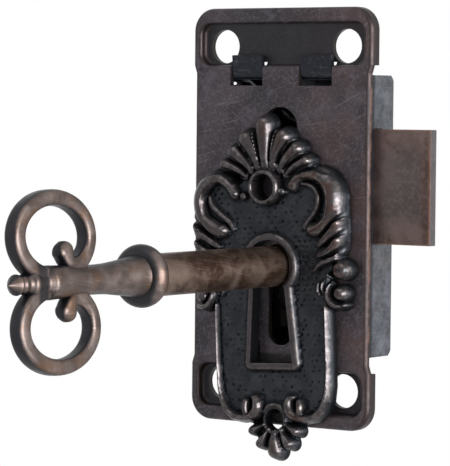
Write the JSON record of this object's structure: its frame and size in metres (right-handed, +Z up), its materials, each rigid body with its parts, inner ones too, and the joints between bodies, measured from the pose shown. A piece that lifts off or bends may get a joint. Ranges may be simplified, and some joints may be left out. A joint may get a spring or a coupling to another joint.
{
  "type": "cabinet lock",
  "caption": "Surface cabinet lock with stamped plate, folded case, sliding bolt, skeleton key and cast ornamental escutcheon.",
  "frame": {"origin": "centre of the four screw holes, on the front of the two recessed pads that they go through, 1.3 mm behind the plate's mounting face", "axes": "+X the way the bolt is thrown, +Y from the door's outside into the cabinet, +Z up; the key points out along -Y"},
  "size_m": [0.0403, 0.0709, 0.0668],
  "materials": {
    "plate_steel": "antique copper patina, satin, fine scratches",
    "case_steel": "blue-grey zinc plate, satin",
    "bolt_steel": "brown patina worn to copper at the edges",
    "bright_steel": "plain turned steel",
    "spring_steel": "tempered strip",
    "black_casting": "blackened casting, relief rubbed to brown metal",
    "bow_casting": "grey-brown satin casting",
    "barrel_steel": "brown patina, satin"
  },
  "bodies": {
    "lock": {"mounting_plate": "plate_steel", "rear_case": "case_steel", "guide_stud": "bright_steel", "guide_washer": "bright_steel", "drill_pin": "bright_steel", "front_ward": "bright_steel", "rear_ward": "bright_steel", "detent_spring": "spring_steel", "spring_rivet": "bright_steel"},
    "bolt": {"bolt": "bolt_steel"},
    "key": {"key_handle": "bow_casting", "key_barrel": "barrel_steel", "key_bit": "barrel_steel"},
    "escutcheon": {"escutcheon": "black_casting"}
  },
  "joints": [
    {"name": "key_turn", "type": "hinge", "parent": "lock", "child": "key", "pos_m": [0, 0, -0.0072], "axis": [0, -1, 0], "range_deg": [0, 355.5]},
    {"name": "bolt_slide", "type": "slide", "parent": "lock", "child": "bolt", "axis": [-1, 0, 0], "range_m": [0, 0.0093], "deforming": ["detent_spring"]},
    {"name": "escutcheon_slide", "type": "slide", "parent": "lock", "child": "escutcheon", "axis": [0, -1, 0], "range_m": [0, 0.03]}
  ],
  "couplings": [
    {"joint": "key_turn", "follows": "bolt_slide", "rad_per_m": 667.17}
  ]
}
